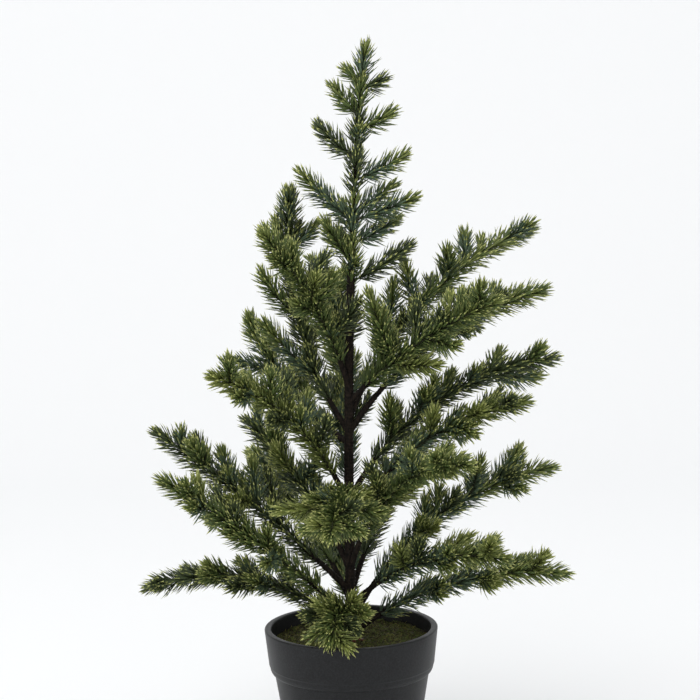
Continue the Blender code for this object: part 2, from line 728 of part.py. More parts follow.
def make_tier(tier, green, cutter, rods, root):
    """One tier: a clothed sleeve round the leader, cut clear of it, and the twigs on it."""
    name, low, high, rows = tier
    owner = "leader_" + name
    twigs = [twig_path(trunk_point(height * MM), azimuth, rise, length * MM)
             for height, azimuth, rise, length in rows]
    for part, twig in enumerate(twigs, 1):
        rods.add_path(twig, CORE_THICK, owner, part, step=2)
    sleeve = [trunk_point((low + (high - low) * i / 6) * MM) for i in range(7)]
    pieces = [spray(sleeve, owner, 0, rods, LEADER_NEEDLE, LEADER_SIDES, sleeve_radius)]
    for part, twig in enumerate(twigs, 1):
        pieces += clothed(twig, TWIG_BARE, TWIG_SUNK, TWIG_THICK, owner, part, rods, LEADER_NEEDLE)
    seat(fuse("foliage_" + owner, pieces, green, cutter), sleeve[0], root)


def make_leader_tip(green, rods, root):
    start = trunk_point(TRUNK_TIP) + Vector((0, 0, GAP))
    end = Vector((LEADER_TIP_SIDE, 0, LEADER_TIP - TUFT))
    stem = part_of([start, end], 0, 1, 9)
    pieces = clothed(stem, STEM_BARE, STEM_SUNK, STEM_THICK, "leader_tip", 0, rods)
    seat(fuse("foliage_leader_tip", pieces, green), start, root)


def main():
    clear_scene()
    root = bpy.data.objects.new("potted_fir", None)
    bpy.context.scene.collection.objects.link(root)
    bark = material("bark_dark_wrap", (0.022, 0.017, 0.014), 0.85)
    green = material("needles_dark_green", (0.045, 0.085, 0.030), 0.5)
    make_pot(root)
    make_filling(root)
    make_moss(root)
    cutter = make_trunk(bark, root)
    rods = Rods()
    trunk_line = [trunk_point(MOSS_LEVEL + (WRAP_END - MOSS_LEVEL) * i / 12) for i in range(13)]
    rods.add_path(trunk_line, FOOT_THICK + GAP, "trunk", step=1)
    plans = plan_boughs(rods)
    grow_sprigs(plans, rods)
    for plan in plans:
        make_bough(plan, bark, cutter, root)
    for plan in plans:
        make_foliage(plan, green, rods, root)
    for tier in TIERS:
        make_tier(tier, green, cutter, rods, root)
    make_leader_tip(green, rods, root)
    bpy.data.objects.remove(cutter, do_unlink=True)


main()
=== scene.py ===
import math
import random

import bmesh
import bpy
import numpy as np
from mathutils import Euler, Matrix, Vector, noise


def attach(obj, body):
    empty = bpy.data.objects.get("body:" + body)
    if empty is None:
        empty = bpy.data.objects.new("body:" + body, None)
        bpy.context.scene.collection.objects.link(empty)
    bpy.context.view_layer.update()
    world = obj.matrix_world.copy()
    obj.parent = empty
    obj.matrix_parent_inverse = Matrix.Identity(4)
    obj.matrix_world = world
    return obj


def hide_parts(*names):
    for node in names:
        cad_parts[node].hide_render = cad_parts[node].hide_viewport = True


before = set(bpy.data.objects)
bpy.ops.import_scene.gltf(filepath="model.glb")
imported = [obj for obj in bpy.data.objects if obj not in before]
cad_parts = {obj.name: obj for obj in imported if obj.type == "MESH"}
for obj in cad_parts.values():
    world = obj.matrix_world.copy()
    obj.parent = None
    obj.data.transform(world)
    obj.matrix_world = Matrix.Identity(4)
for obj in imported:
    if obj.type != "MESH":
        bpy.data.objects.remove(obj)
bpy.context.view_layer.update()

MM = 0.001

# Studio: a white paper sweep that runs from under the pot up behind it, a large soft light above
# the front and a dim one at each side. The camera is a long lens a metre and a half in front,
# level with the tree's top and looking slightly down.
SWEEP_SIDE = 3.0                   # metres from the middle to each edge of the paper
SWEEP_FRONT = -2.6
SWEEP_TOP = 3.2
BEND_START = 1.0                   # where the floor ends and the bend begins
BEND_RADIUS = 0.8
BEND_STEPS = 16
ROOM_LIGHT = 0.80                  # strength of the even white light all round


def linear(colour):
    """sRGB hex to the linear colour that a shader takes."""
    parts = [int(colour[i:i + 2], 16) / 255 for i in (1, 3, 5)]
    return [c / 12.92 if c <= 0.04045 else ((c + 0.055) / 1.055) ** 2.4 for c in parts] + [1.0]


def add_node(tree, kind, sockets=None):
    """Adds a node. Each socket gets a value, or a link from another node's output."""
    node = tree.nodes.new(kind)
    for key, value in (sockets or {}).items():
        if isinstance(value, bpy.types.NodeSocket):
            tree.links.new(value, node.inputs[key])
        else:
            node.inputs[key].default_value = value
    return node


def new_material(name, colour, roughness):
    """A material with one shader, as (material, node tree, shader)."""
    mat = bpy.data.materials.new(name)
    mat.use_nodes = True
    shader = mat.node_tree.nodes["Principled BSDF"]
    shader.inputs["Base Color"].default_value = linear(colour)
    shader.inputs["Roughness"].default_value = roughness
    return mat, mat.node_tree, shader


def add_piece(name, bm, *mats):
    """Makes a bmesh a smooth object at the origin."""
    mesh = bpy.data.meshes.new(name)
    bm.to_mesh(mesh)
    bm.free()
    for mat in mats:
        mesh.materials.append(mat)
    mesh.shade_smooth()
    obj = bpy.data.objects.new(name, mesh)
    bpy.context.scene.collection.objects.link(obj)
    return obj


def make_sweep():
    """Floor, a quarter bend and an upright back, white on its upper side.

    Its back is clear, or it would hide the tree from a camera that stands behind it.
    """
    bm = bmesh.new()
    edge = [bm.verts.new((-SWEEP_SIDE, SWEEP_FRONT, 0)), bm.verts.new((-SWEEP_SIDE, BEND_START, 0))]
    for i in range(1, BEND_STEPS + 1):
        turn = math.pi / 2 * i / BEND_STEPS
        back, rise = BEND_RADIUS * math.sin(turn), BEND_RADIUS * (1 - math.cos(turn))
        edge.append(bm.verts.new((-SWEEP_SIDE, BEND_START + back, rise)))
    edge.append(bm.verts.new((-SWEEP_SIDE, BEND_START + BEND_RADIUS, SWEEP_TOP)))
    edges = [bm.edges.new(pair) for pair in zip(edge, edge[1:])]
    made = bmesh.ops.extrude_edge_only(bm, edges=edges)["geom"]
    moved = [g for g in made if isinstance(g, bmesh.types.BMVert)]
    bmesh.ops.translate(bm, verts=moved, vec=(2 * SWEEP_SIDE, 0, 0))
    bmesh.ops.recalc_face_normals(bm, faces=bm.faces)
    bm.normal_update()
    if sum(face.normal.z for face in bm.faces) < 0:
        bmesh.ops.reverse_faces(bm, faces=bm.faces)
    # background paper: matt white, with hardly any shine
    paper, tree, shader = new_material("sweep_white_paper", "#f4f5f6", 0.95)
    shader.inputs["Specular IOR Level"].default_value = 0.1
    side = add_node(tree, "ShaderNodeNewGeometry").outputs["Backfacing"]
    clear = add_node(tree, "ShaderNodeBsdfTransparent").outputs["BSDF"]
    either = add_node(tree, "ShaderNodeMixShader", {0: side, 1: shader.outputs["BSDF"], 2: clear})
    tree.links.new(either.outputs["Shader"], tree.nodes["Material Output"].inputs["Surface"])
    return add_piece("paper_sweep", bm, paper)


def add_light(name, place, size, power, target=(0, 0, 0.28)):
    """A square soft light turned to the middle of the tree, with its size in metres and its watts."""
    light = bpy.data.lights.new(name, "AREA")
    light.size = size
    light.energy = power
    lamp = bpy.data.objects.new(name, light)
    lamp.location = place
    lamp.rotation_euler = (Vector(target) - Vector(place)).to_track_quat("-Z", "Y").to_euler()
    bpy.context.scene.collection.objects.link(lamp)


make_sweep()
add_light("soft_light_above", (-0.5, -1.0, 2.1), 1.6, 18)
add_light("soft_light_left", (-2.0, -0.9, 0.9), 1.4, 7)
add_light("soft_light_right", (2.0, -0.7, 1.0), 1.4, 6)
world = bpy.data.worlds.new("white_studio")
world.use_nodes = True
world.node_tree.nodes["Background"].inputs["Color"].default_value = (1.0, 1.0, 1.0, 1.0)
world.node_tree.nodes["Background"].inputs["Strength"].default_value = ROOM_LIGHT
bpy.context.scene.world = world
bpy.context.scene.view_settings.view_transform = "Standard"

LENS = 118.3                       # mm, on a sensor 36 mm wide
LOOK_DOWN = 8.357                  # degrees
ROLL = -1.1                        # degrees
CAMERA_PLACE = (0.0029, -1.55, 0.5311)
lens = bpy.data.cameras.new("camera")
lens.lens = LENS
lens.sensor_width = 36
lens.clip_end = 20
camera = bpy.data.objects.new("camera", lens)
tilt = Euler((math.radians(90 - LOOK_DOWN), 0, 0)).to_matrix()
turned = tilt @ Matrix.Rotation(math.radians(ROLL), 3, "Z")
camera.matrix_world = Matrix.Translation(CAMERA_PLACE) @ turned.to_4x4()
bpy.context.scene.collection.objects.link(camera)
bpy.context.scene.camera = camera

# Pot: injection moulded polypropylene with a deep collar, a rolled lip and a rounded step under
# the collar. It is one turned shell, satin, with the fine grain of the mould and a few specks.
POT_HEIGHT = 110 * MM
RIM_RADIUS = 60 * MM
COLLAR_HEIGHT = 25 * MM
COLLAR_TAPER = 2.6 * MM            # how much the collar narrows from the lip down
COLLAR_DRAFT = 0.4 * MM            # the same inside the collar
COLLAR_EDGE = 0.5 * MM             # rounding of the collar's lower edge
STEP_HEIGHT = 6.4 * MM             # rounded step between the collar and the body
STEP_FACES = 8
BODY_RADIUS = 53.7 * MM
FOOT_RADIUS = 40.8 * MM
LIP_WIDTH = 4.6 * MM
LIP_ROUND = 1.0 * MM
FOOT_ROUND = 1.2 * MM
FOOT_FLAT = FOOT_RADIUS - 4 * MM   # the underside is one flat disc out to here
POT_WALL = 2.4 * MM
POT_FLOOR = 3 * MM
MOULD_GRAIN = 0.4 * MM             # coarser than the real grain, which is too fine to show
SPECK = 1.11 * MM
WORN_PATCH = 22.2 * MM
COLLAR_FOOT = POT_HEIGHT - COLLAR_HEIGHT
BODY_TOP = COLLAR_FOOT - STEP_HEIGHT


def arc(centre, radius, start, end, steps):
    """Points of an arc in the (radius, height) plane, in degrees from outwards to upwards."""
    turns = (math.radians(start + (end - start) * i / steps) for i in range(steps + 1))
    return [(centre[0] + radius * math.cos(a), centre[1] + radius * math.sin(a)) for a in turns]


def turn_solid(bm, section, steps=96):
    """Spins a closed section, whose two ends lie on the axis, into a solid."""
    verts = [bm.verts.new((radius, 0, z)) for radius, z in section]
    edges = [bm.edges.new(pair) for pair in zip(verts, verts[1:])]
    bmesh.ops.spin(bm, geom=verts + edges, cent=(0, 0, 0), axis=(0, 0, 1), dvec=(0, 0, 0),
                   angle=2 * math.pi, steps=steps, use_merge=True)
    bmesh.ops.remove_doubles(bm, verts=bm.verts, dist=0.01 * MM)
    bmesh.ops.recalc_face_normals(bm, faces=bm.faces)


def make_pot():
    low = RIM_RADIUS - COLLAR_TAPER
    edge = low - COLLAR_EDGE
    lip = RIM_RADIUS - LIP_WIDTH
    section = [(0, 0), (FOOT_FLAT, 0)]
    section += arc((FOOT_RADIUS - FOOT_ROUND, FOOT_ROUND), FOOT_ROUND, -90, 0, 5)
    section.append((BODY_RADIUS, BODY_TOP))
    for i in range(1, STEP_FACES):
        turn = math.pi / 2 * i / STEP_FACES
        section.append((BODY_RADIUS + (edge - BODY_RADIUS) * math.sin(turn),
                        BODY_TOP + (STEP_HEIGHT - COLLAR_EDGE) * (1 - math.cos(turn))))
    section += arc((edge, COLLAR_FOOT), COLLAR_EDGE, -60, 0, 3)
    section += arc((RIM_RADIUS - LIP_ROUND, POT_HEIGHT - LIP_ROUND), LIP_ROUND, 0, 90, 5)
    section += arc((lip + LIP_ROUND, POT_HEIGHT - LIP_ROUND), LIP_ROUND, 90, 180, 5)
    section += [(lip - COLLAR_DRAFT, COLLAR_FOOT), (BODY_RADIUS - POT_WALL, BODY_TOP)]
    section += [(FOOT_RADIUS - POT_WALL, POT_FLOOR), (0, POT_FLOOR)]
    bm = bmesh.new()
    turn_solid(bm, section)
    # polypropylene: charcoal black and satin, with the mould's grain and rare paler specks
    mat, tree, shader = new_material("pot_moulded_polypropylene", "#131415", 0.42)
    shader.inputs["Specular IOR Level"].default_value = 0.22
    place = add_node(tree, "ShaderNodeTexCoord").outputs["Object"]
    grain = add_node(tree, "ShaderNodeTexNoise", {"Vector": place, "Scale": 1 / MOULD_GRAIN, "Detail": 2.0})
    bump = add_node(tree, "ShaderNodeBump",
                    {"Height": grain.outputs["Fac"], "Strength": 0.12, "Distance": 0.2 * MM})
    worn = add_node(tree, "ShaderNodeTexNoise", {"Vector": place, "Scale": 1 / WORN_PATCH, "Detail": 3.0})
    rough = add_node(tree, "ShaderNodeMapRange",
                     {"Value": worn.outputs["Fac"], "To Min": 0.36, "To Max": 0.50})
    speck = add_node(tree, "ShaderNodeTexNoise", {"Vector": place, "Scale": 1 / SPECK, "Detail": 1.0})
    ramp = add_node(tree, "ShaderNodeValToRGB", {"Fac": speck.outputs["Fac"]})
    ramp.color_ramp.elements[0].position = 0.35
    ramp.color_ramp.elements[0].color = linear("#121314")
    ramp.color_ramp.elements[1].position = 0.78
    ramp.color_ramp.elements[1].color = linear("#212224")
    tree.links.new(ramp.outputs["Color"], shader.inputs["Base Color"])
    tree.links.new(rough.outputs["Result"], shader.inputs["Roughness"])
    tree.links.new(bump.outputs["Normal"], shader.inputs["Normal"])
    pot = add_piece("pot_shell", bm, mat)
    pot.data.set_sharp_from_angle(angle=math.radians(40))
    return pot


pot = make_pot()
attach(pot, "root")
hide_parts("pot")

# Filling: a weight of grey plaster cast in the pot before the moss is laid on it. It keeps its
# own solid, and gets the chalky, pitted face of cast plaster.
PIT = 2.5 * MM


def finish_filling(obj):
    # gypsum plaster: chalky grey, matt and cloudy, with pits from the cast
    mat, tree, shader = new_material("filling_cast_plaster", "#938f88", 0.92)
    place = add_node(tree, "ShaderNodeTexCoord").outputs["Object"]
    pits = add_node(tree, "ShaderNodeTexNoise", {"Vector": place, "Scale": 1 / PIT, "Detail": 4.0})
    bump = add_node(tree, "ShaderNodeBump",
                    {"Height": pits.outputs["Fac"], "Strength": 0.4, "Distance": 0.5 * MM})
    tint = add_node(tree, "ShaderNodeValToRGB", {"Fac": pits.outputs["Fac"]})
    tint.color_ramp.elements[0].color = linear("#7c7871")
    tint.color_ramp.elements[1].color = linear("#a8a49c")
    tree.links.new(tint.outputs["Color"], shader.inputs["Base Color"])
    tree.links.new(bump.outputs["Normal"], shader.inputs["Normal"])
    obj.data.materials.clear()
    obj.data.materials.append(mat)


finish_filling(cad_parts["filling"])

# Moss: a thin mat of dried moss pressed on the plaster up to the wall. It is a lumpy bed, and on
# it stand short olive, green, straw and brown fibres, made as joined slivers.
MOSS_LEVEL = 101 * MM
MOSS_RADIUS = 55.3 * MM
MOSS_DEPTH = 6 * MM
MOSS_DROP = 1.2 * MM               # how far the moss sinks towards the wall
LUMPS = 90                         # soft lumps to the metre, so about 11 mm apart
LUMP_HEIGHT = 1.5 * MM
CRUMBS = 600                       # crumbs to the metre
CRUMB_HEIGHT = 0.5 * MM
BED_RINGS = 44
MOSS_PATCH = 5.88 * MM             # size of a patch of one colour
FIBRES = 7000
FIBRE_LENGTH = (2.2, 5.5)          # mm
FIBRE_HALF = (0.12, 0.30)          # half the width, mm
FIBRE_THIN = 0.10 * MM
FIBRE_RISE = (5, 60)               # degrees
FIBRE_BEND = 0.35
WALL_ROOM = 0.5 * MM               # no fibre comes nearer to the pot's wall
FIBRE_TONES = (("olive", "#55592a"), ("brown", "#35281a"), ("straw", "#8c8649"), ("green", "#5f6f2c"))
FIBRE_SHARES = (0.30, 0.30, 0.18, 0.22)
SLIVER_SHARES = (0.0, 0.42, 0.8, 1.0)    # rings along a sliver, the last one its tip
SLIVER_SWELL = (0.55, 1.0, 0.72)         # width at each ring


def add_slivers(name, roots, ways, bends, flats, lengths, wide, thin, shaft, tip, mats):
    """Joined slivers from arrays: each is a flat, curved blade of two stretches and a tip.

    A sliver runs from its root along its way, curves by its bend, and is wide along its flat.
    Shaft and tip are the numbers of its two materials.
    """
    count = len(roots)
    deep = np.cross(ways, flats)
    points = np.empty((count, 13, 3))
    for ring, share in enumerate(SLIVER_SHARES):
        middle = roots + lengths[:, None] * (share * ways + share * share * bends)
        if ring == 3:
            points[:, 12] = middle
            continue
        swell = SLIVER_SWELL[ring]
        for corner, (a, b) in enumerate(((1, 0), (0, 1), (-1, 0), (0, -1))):
            across = a * wide[:, None] * flats + b * thin * deep
            points[:, 4 * ring + corner] = middle + swell * across
    faces = [(0, 3, 2, 1)]
    for ring in (0, 4):
        faces += [(ring + c, ring + (c + 1) % 4, ring + 4 + (c + 1) % 4, ring + 4 + c) for c in range(4)]
    faces += [(8 + c, 8 + (c + 1) % 4, 12) for c in range(4)]
    one = np.array([corner for face in faces for corner in face])
    sizes = np.array([len(face) for face in faces])
    starts = np.concatenate([[0], np.cumsum(sizes)[:-1]])
    mesh = bpy.data.meshes.new(name)
    mesh.vertices.add(count * 13)
    mesh.vertices.foreach_set("co", points.ravel())
    mesh.loops.add(count * len(one))
    number = np.arange(count)[:, None]
    mesh.loops.foreach_set("vertex_index", (number * 13 + one).ravel().astype(np.int32))
    mesh.polygons.add(count * len(faces))
    mesh.polygons.foreach_set("loop_start", (number * len(one) + starts).ravel().astype(np.int32))
    slots = np.repeat(shaft[:, None], len(faces), axis=1)
    slots[:, -4:] = tip[:, None]
    mesh.polygons.foreach_set("material_index", slots.ravel().astype(np.int32))
    mesh.update(calc_edges=True)
    mesh.validate()
    for mat in mats:
        mesh.materials.append(mat)
    mesh.shade_smooth()
    obj = bpy.data.objects.new(name, mesh)
    bpy.context.scene.collection.objects.link(obj)
    return obj


def unit(rows):
    """The rows of an array, each made one long."""
    return rows / np.maximum(np.linalg.norm(rows, axis=1)[:, None], 1e-9)


def moss_height(x, y):
    """Height of the bed's top: soft lumps, level round the trunk and sinking to the wall."""
    out = math.hypot(x, y) / MOSS_RADIUS
    lump = noise.fractal(Vector((x, y, 0.3)) * LUMPS, 0.8, 2.1, 4) * LUMP_HEIGHT
    crumb = noise.noise(Vector((x, y, 0.1)) * CRUMBS) * CRUMB_HEIGHT
    return MOSS_LEVEL + (lump + crumb) * min(1.0, out * 3) - MOSS_DROP * out ** 3


def make_moss_bed():
    bm = bmesh.new()
    section = [(MOSS_RADIUS * i / BED_RINGS, MOSS_LEVEL) for i in range(BED_RINGS + 1)]
    section += [(MOSS_RADIUS, MOSS_LEVEL - MOSS_DEPTH), (0, MOSS_LEVEL - MOSS_DEPTH)]
    turn_solid(bm, section, 120)
    for v in bm.verts:
        if v.co.z > MOSS_LEVEL - 0.5 * MOSS_DEPTH:
            v.co.z = moss_height(v.co.x, v.co.y)
    # dried moss: matt, olive with brown and yellow patches a few millimetres across
    mat, tree, shader = new_material("moss_dried_mat", "#4a4a22", 0.95)
    place = add_node(tree, "ShaderNodeTexCoord").outputs["Object"]
    patch = add_node(tree, "ShaderNodeTexNoise",
                     {"Vector": place, "Scale": 1 / MOSS_PATCH, "Detail": 5.0, "Roughness": 0.7})
    ramp = add_node(tree, "ShaderNodeValToRGB", {"Fac": patch.outputs["Fac"]})
    ramp.color_ramp.elements[0].position = 0.32
    ramp.color_ramp.elements[0].color = linear("#231c12")
    ramp.color_ramp.elements[1].position = 0.68
    ramp.color_ramp.elements[1].color = linear("#6f7034")
    ramp.color_ramp.elements.new(0.5).color = linear("#454622")
    bump = add_node(tree, "ShaderNodeBump",
                    {"Height": patch.outputs["Fac"], "Strength": 0.8, "Distance": 1 * MM})
    tree.links.new(ramp.outputs["Color"], shader.inputs["Base Color"])
    tree.links.new(bump.outputs["Normal"], shader.inputs["Normal"])
    return add_piece("moss_bed", bm, mat)


def make_moss_fibres():
    draw = np.random.default_rng(5)
    out = MOSS_RADIUS * np.sqrt(draw.uniform(0.006, 0.97, FIBRES))
    turn = draw.uniform(0, 2 * math.pi, FIBRES)
    x, y = out * np.cos(turn), out * np.sin(turn)
    z = np.array([moss_height(a, b) for a, b in zip(x, y)]) - 0.3 * MM
    way_turn = draw.uniform(0, 2 * math.pi, FIBRES)
    rise = np.radians(draw.uniform(*FIBRE_RISE, FIBRES))
    level = np.cos(rise)
    ways = np.stack([level * np.cos(way_turn), level * np.sin(way_turn), np.sin(rise)], 1)
    bends = unit(draw.normal(size=(FIBRES, 3))) * FIBRE_BEND
    bends[:, 2] = -FIBRE_BEND
    flats = unit(np.cross(ways, draw.normal(size=(FIBRES, 3))))
    lengths = draw.uniform(*FIBRE_LENGTH, FIBRES) * MM
    wide = draw.uniform(*FIBRE_HALF, FIBRES) * MM
    tone = draw.choice(len(FIBRE_TONES), FIBRES, p=FIBRE_SHARES)
    # dried moss fibres: matt, each of one faded colour
    mats = [new_material("moss_fibre_" + name, colour, 0.9)[0] for name, colour in FIBRE_TONES]
    roots = np.stack([x, y, z], 1)
    reach = np.hypot(*(roots + ways * lengths[:, None])[:, :2].T)
    keep = reach < MOSS_RADIUS - WALL_ROOM
    return add_slivers("moss_fibres", roots[keep], ways[keep], bends[keep], flats[keep], lengths[keep],
                       wide[keep], FIBRE_THIN, tone[keep], tone[keep], mats)


moss = make_moss_bed()
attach(moss, "root")
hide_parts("moss")
fibres = make_moss_fibres()
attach(fibres, "root")

# Trunk: a steel wire stem wound thickly with dark brown paper tape up to two thirds of its
# height. Above that the thin leader goes on, and the tape's turns stand out as slanting ridges.
TRUNK_FOOT = 101.3 * MM
TRUNK_TIP = 486 * MM
TRUNK_RISE = TRUNK_TIP - TRUNK_FOOT
TRUNK_LEAN = 14 * MM               # to +X, nearly all of it in the upper part
LEAN_POWER = 2.7
FOOT_THICK = 3.7 * MM              # radius above the flare
WRAP_END = 362 * MM
WRAP_THICK = 2.8 * MM
WRAP_SLOPE = 3 * MM                # length over which the wrapping thins out
LEADER_THICK = 1.7 * MM
TIP_THICK = 0.9 * MM
FLARE = 4.2 * MM
FLARE_HEIGHT = 6 * MM
TAPE_PITCH = 2.4 * MM
TAPE_RIDGE = 0.09                  # share of the radius that a turn of tape stands out
TAPE_DENT = 0.10                   # the same for its dents
TAPE_FIBRE = 1.43 * MM
RING_STEP = 0.6 * MM
TRUNK_STEPS = 60


def trunk_point(z):
    """The middle of the trunk at a height."""
    share = max(0.0, (z - TRUNK_FOOT) / TRUNK_RISE)
    return Vector((TRUNK_LEAN * share ** LEAN_POWER, 0, z))


def trunk_radius(z):
    if z < WRAP_END:
        share = (z - TRUNK_FOOT) / (WRAP_END - TRUNK_FOOT)
        flare = FLARE * math.exp(-(z - TRUNK_FOOT) / FLARE_HEIGHT)
        return FOOT_THICK + (WRAP_THICK - FOOT_THICK) * share + flare
    share = (z - WRAP_END) / (TRUNK_TIP - WRAP_END)
    wrapping = (WRAP_THICK - LEADER_THICK) * math.exp(-(z - WRAP_END) / WRAP_SLOPE)
    return LEADER_THICK + (TIP_THICK - LEADER_THICK) * share + wrapping


def path_length(path):
    return sum((b - a).length for a, b in zip(path, path[1:]))


def point_on(path, share):
    """The point at a share of the way along a path of even steps."""
    place = share * (len(path) - 1)
    i = min(int(place), len(path) - 2)
    return path[i].lerp(path[i + 1], place - i)


def part_of(path, start, end, count):
    return [point_on(path, start + (end - start) * i / (count - 1)) for i in range(count)]


def frames(path):
    """Directions along and across a path at each of its points, carried without a twist."""
    side = Vector((0.83, 0.56, 0))    # any level direction does, unless the path starts along it
    found = []
    for i in range(len(path)):
        along = (path[min(i + 1, len(path) - 1)] - path[max(i - 1, 0)]).normalized()
        if i == 0 and abs(along.dot(side)) > 0.9:
            side = Vector((0, 0, 1))
        side = (side - side.dot(along) * along).normalized()
        found.append((along, side, along.cross(side)))
    return found


def sweep_limb(bm, path, radius_at, sides, step=RING_STEP, tape=True, seed=0.0):
    """Extrudes a ring along a path. With tape, slanting ridges and dents shape each ring."""
    length = path_length(path)
    count = max(2, round(length / step))
    marks = part_of(path, 0, 1, count + 1)
    across = frames(marks)
    ring = bmesh.ops.create_circle(bm, segments=sides, radius=1.0)["verts"]
    edges = list({edge for v in ring for edge in v.link_edges})
    angles = {v: math.atan2(v.co.y, v.co.x) for v in ring}
    first = list(edges)
    for i, (centre, (_, side, up)) in enumerate(zip(marks, across)):
        if i:
            low, low_side, low_up = marks[i - 1], across[i - 1][1], across[i - 1][2]
            made = bmesh.ops.extrude_edge_only(bm, edges=edges)["geom"]
            ring = [g for g in made if isinstance(g, bmesh.types.BMVert)]
            edges = [g for g in made if isinstance(g, bmesh.types.BMEdge)]
            angles = {v: math.atan2((v.co - low).dot(low_up), (v.co - low).dot(low_side)) for v in ring}
        share = i / count
        for v, angle in angles.items():
            radius = radius_at(share)
            if tape:
                turn = share * length / TAPE_PITCH + angle / (2 * math.pi) + seed
                ridge = TAPE_RIDGE * (2 * (turn % 1.0) - 1)
                dent = TAPE_DENT * noise.noise(Vector((turn * 0.7, angle, seed * 9)))
                radius *= 1 + ridge + dent
            v.co = centre + radius * (math.cos(angle) * side + math.sin(angle) * up)
    bmesh.ops.holes_fill(bm, edges=first + edges, sides=0)


def bark_material():
    # paper tape: matt, nearly black brown, with paler worn fibres along its turns
    mat, tree, shader = new_material("bark_paper_tape", "#120e0b", 0.85)
    shader.inputs["Specular IOR Level"].default_value = 0.2
    place = add_node(tree, "ShaderNodeTexCoord").outputs["Object"]
    stretch = add_node(tree, "ShaderNodeMapping", {"Vector": place, "Scale": (1.0, 1.0, 0.35)})
    worn = add_node(tree, "ShaderNodeTexNoise",
                    {"Vector": stretch.outputs["Vector"], "Scale": 1 / TAPE_FIBRE, "Detail": 4.0})
    ramp = add_node(tree, "ShaderNodeValToRGB", {"Fac": worn.outputs["Fac"]})
    ramp.color_ramp.elements[0].position = 0.38
    ramp.color_ramp.elements[0].color = linear("#0c0907")
    ramp.color_ramp.elements[1].position = 0.72
    ramp.color_ramp.elements[1].color = linear("#2b221b")
    bump = add_node(tree, "ShaderNodeBump",
                    {"Height": worn.outputs["Fac"], "Strength": 0.6, "Distance": 0.3 * MM})
    tree.links.new(ramp.outputs["Color"], shader.inputs["Base Color"])
    tree.links.new(bump.outputs["Normal"], shader.inputs["Normal"])
    return mat


bark = bark_material()
trunk_line = [trunk_point(TRUNK_FOOT + TRUNK_RISE * i / TRUNK_STEPS) for i in range(TRUNK_STEPS + 1)]
trunk_mesh = bmesh.new()
sweep_limb(trunk_mesh, trunk_line, lambda share: trunk_radius(TRUNK_FOOT + TRUNK_RISE * share), 16)
bmesh.ops.recalc_face_normals(trunk_mesh, faces=trunk_mesh.faces)
trunk = add_piece("trunk_wound_stem", trunk_mesh, bark)
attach(trunk, "root")
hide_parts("trunk")

# Glue: red-brown drops of hot glue that hold the stem's foot in the moss. They lie round the
# flare of the trunk, mostly at the front, and each is a flattened, uneven blob.
GLUE_OUT = 8.7 * MM                # from the trunk's middle
GLUE_HEIGHT = 101.6 * MM
GLUE_ANGLES = (3.6, 4.3, 4.9, 5.6, 1.2)
GLUE_SIZE = (1.2, 2.2)             # radius, mm
GLUE_DENTS = 900                   # to the metre
GLUE_DENT = 0.4 * MM
GLUE_CLOUD = 2 * MM


def make_glue():
    bm = bmesh.new()
    draw = random.Random(3)
    for angle in GLUE_ANGLES:
        place = (GLUE_OUT * math.cos(angle), GLUE_OUT * math.sin(angle), GLUE_HEIGHT)
        size = draw.uniform(*GLUE_SIZE) * MM
        shape = Matrix.Translation(place) @ Matrix.Diagonal((size, size * 0.8, size * 0.6, 1))
        bmesh.ops.create_icosphere(bm, subdivisions=3, radius=1.0, matrix=shape)
    for v in bm.verts:
        v.co += v.normal * noise.noise(v.co * GLUE_DENTS) * GLUE_DENT
    # hot-melt glue: slightly glossy, a cloudy red-brown
    mat, tree, shader = new_material("glue_hot_melt", "#5b2d22", 0.35)
    place = add_node(tree, "ShaderNodeTexCoord").outputs["Object"]
    tint = add_node(tree, "ShaderNodeTexNoise", {"Vector": place, "Scale": 1 / GLUE_CLOUD})
    ramp = add_node(tree, "ShaderNodeValToRGB", {"Fac": tint.outputs["Fac"]})
    ramp.color_ramp.elements[0].color = linear("#3c1d16")
    ramp.color_ramp.elements[1].color = linear("#7a4030")
    tree.links.new(ramp.outputs["Color"], shader.inputs["Base Color"])
    return add_piece("glue_drops", bm, mat)


glue = make_glue()
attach(glue, "root")

# Boughs: wires wound with the same tape, bent up from the trunk and then outwards. Each is bare
# for its first stretch and then runs on as the stem of its foliage.

